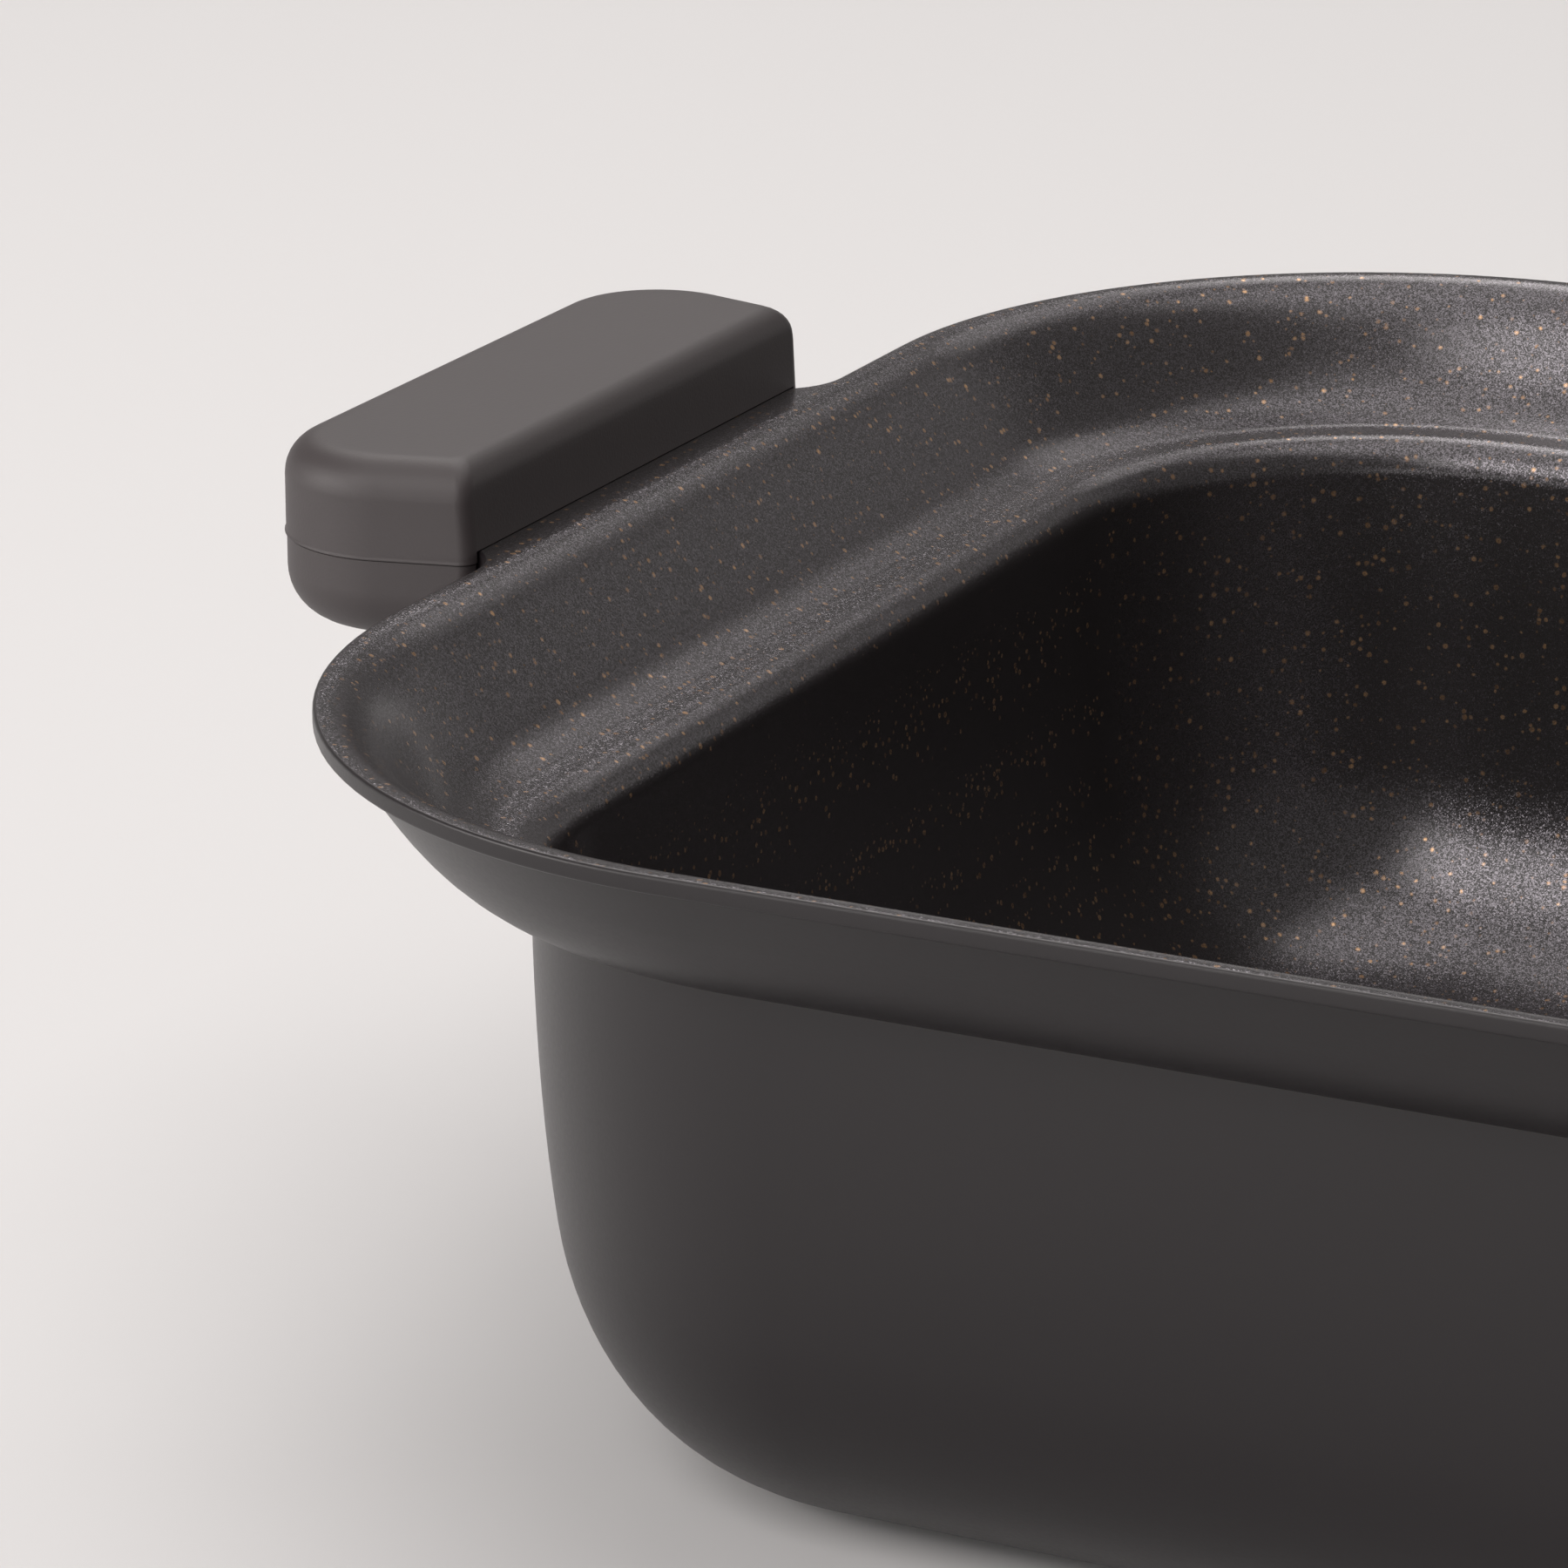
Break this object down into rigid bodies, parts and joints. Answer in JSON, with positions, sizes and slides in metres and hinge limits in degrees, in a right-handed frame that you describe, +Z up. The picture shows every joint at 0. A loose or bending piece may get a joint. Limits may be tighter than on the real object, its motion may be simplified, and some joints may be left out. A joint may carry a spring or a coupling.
{
  "type": "square hot pot",
  "caption": "Square cast hot pot with a flared rim, a stepped lid seat, a deep rounded well, moulded grips on cast side tabs and an induction plate pressed into its base.",
  "frame": {"origin": "middle of the base, on the surface that the pot stands on", "axes": "+Z up, +X through the right grip, +Y along the grips towards the pot's back"},
  "size_m": [0.3218, 0.26, 0.0971],
  "materials": {
    "coated_casting": "dark non-stick coating, flecked inside and plain matte outside",
    "moulding": "fine matte phenolic moulding",
    "steel": "satin",
    "brass": "machined"
  },
  "bodies": {
    "root": {"pot_body": "coated_casting", "induction_plate": "steel", "grip_right": "moulding", "grip_left": "moulding", "grip_screw_right_1": "steel", "grip_screw_right_2": "steel", "grip_screw_left_1": "steel", "grip_screw_left_2": "steel", "lock_washer_right_1": "steel", "lock_washer_right_2": "steel", "lock_washer_left_1": "steel", "lock_washer_left_2": "steel", "grip_insert_right_1": "brass", "grip_insert_right_2": "brass", "grip_insert_left_1": "brass", "grip_insert_left_2": "brass"}
  },
  "joints": []
}
